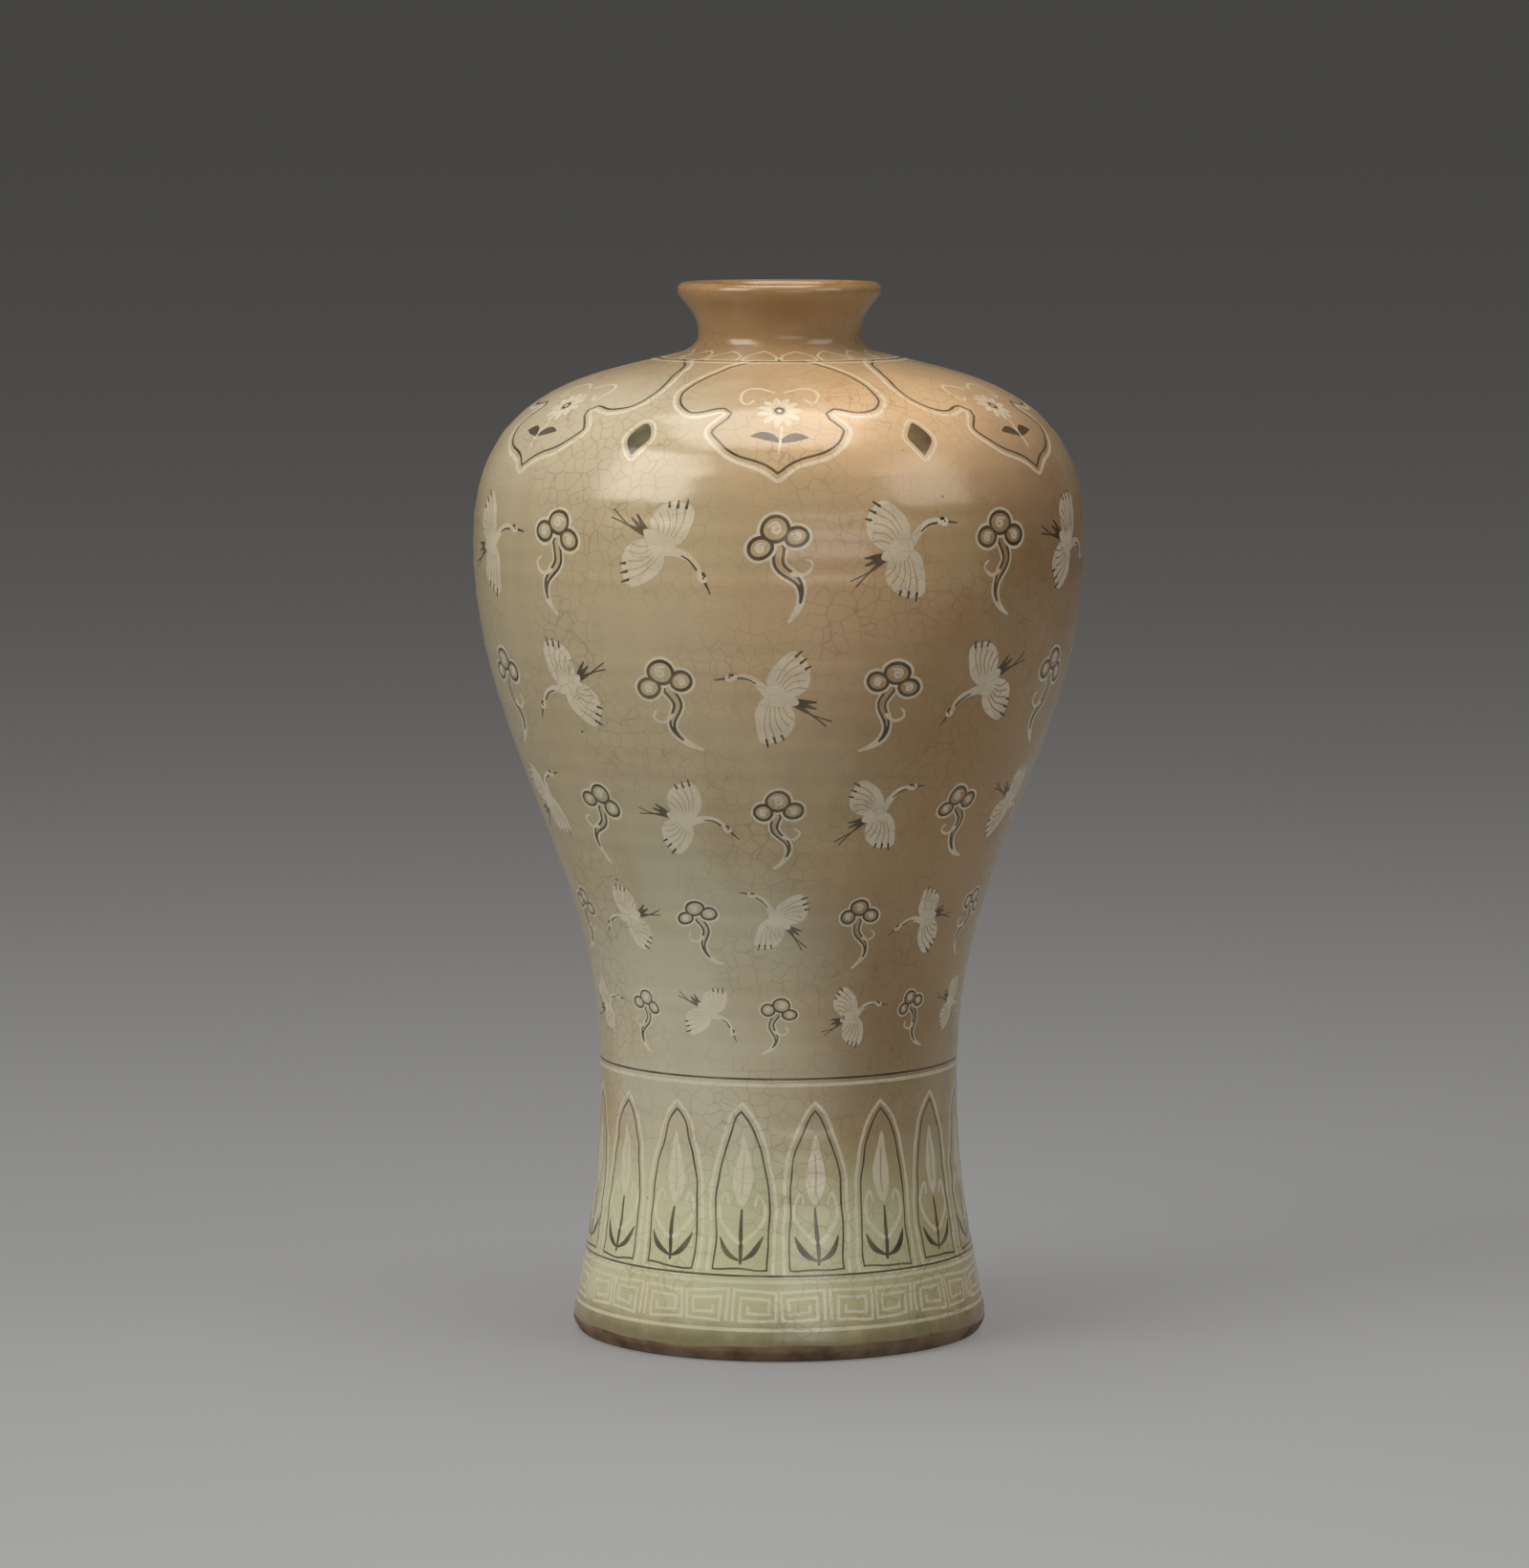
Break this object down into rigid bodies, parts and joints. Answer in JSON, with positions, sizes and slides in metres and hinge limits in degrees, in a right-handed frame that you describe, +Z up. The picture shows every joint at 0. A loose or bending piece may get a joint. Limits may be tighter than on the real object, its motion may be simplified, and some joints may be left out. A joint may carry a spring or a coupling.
{
  "type": "inlaid celadon vase",
  "caption": "Glazed stoneware plum vase, hollow, with a small flared mouth, round high shoulders, a drawn-in waist and a spreading recessed foot; it stands on its foot ring.",
  "frame": {"origin": "middle of the circle that the foot ring stands on", "axes": "+Z up the axis the vase was thrown on, from foot to mouth; the picture's view looks along +Y"},
  "size_m": [0.1736, 0.1736, 0.3],
  "materials": {
    "celadon_glaze": "glossy celadon glaze, grey-green turning khaki and tan, over white and black slip inlay"
  },
  "bodies": {
    "root": {"vase": "celadon_glaze"}
  },
  "joints": []
}
